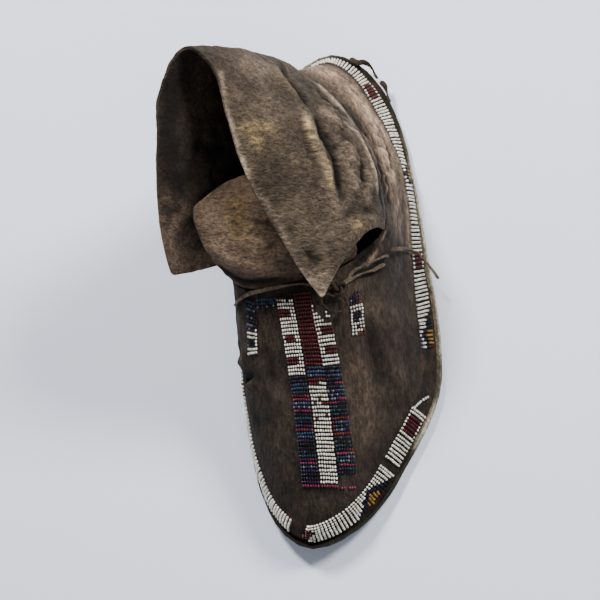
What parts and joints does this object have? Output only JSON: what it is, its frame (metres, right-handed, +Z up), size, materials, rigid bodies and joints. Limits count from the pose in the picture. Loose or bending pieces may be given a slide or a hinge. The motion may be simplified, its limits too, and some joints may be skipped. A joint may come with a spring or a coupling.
{
  "type": "beaded moccasin",
  "caption": "Left hard-soled hide moccasin with a tall folded ankle cuff, a rolled tongue, a thong tie, and lanes and a border of sewn beads.",
  "frame": {"origin": "on the sole's flat underside, under the waist of the foot", "axes": "+Y towards the heel along the sole, +X to the outer side of the foot, +Z up"},
  "size_m": [0.1158, 0.2603, 0.1232],
  "materials": {
    "rawhide": "stiff, worn and darkened at the edge",
    "upper_hide": "suede, dark with wear",
    "cuff_hide": "suede, lighter, stained and wrinkled",
    "tongue_hide": "suede, smooth where it rolls over",
    "beads": "opaque glass seed beads, satin",
    "thong": "cut thong, matte",
    "dark_thong": "dark cut fringe, matte"
  },
  "bodies": {
    "root": {"sole": "rawhide", "upper": "upper_hide", "cuff": "cuff_hide", "tongue": "tongue_hide", "bead_border_toe": "beads", "bead_border_outer": "beads", "bead_border_inner": "beads", "bead_lane_inner": "beads", "bead_lane_middle": "beads", "bead_lane_outer": "beads", "bead_mark_inner": "beads", "bead_mark_outer": "beads", "tie_across": "thong", "tie_strands": "thong", "tie_knot": "thong", "tie_loop": "thong", "tie_end": "thong", "heel_trailer_1": "dark_thong", "heel_trailer_2": "dark_thong"}
  },
  "joints": []
}
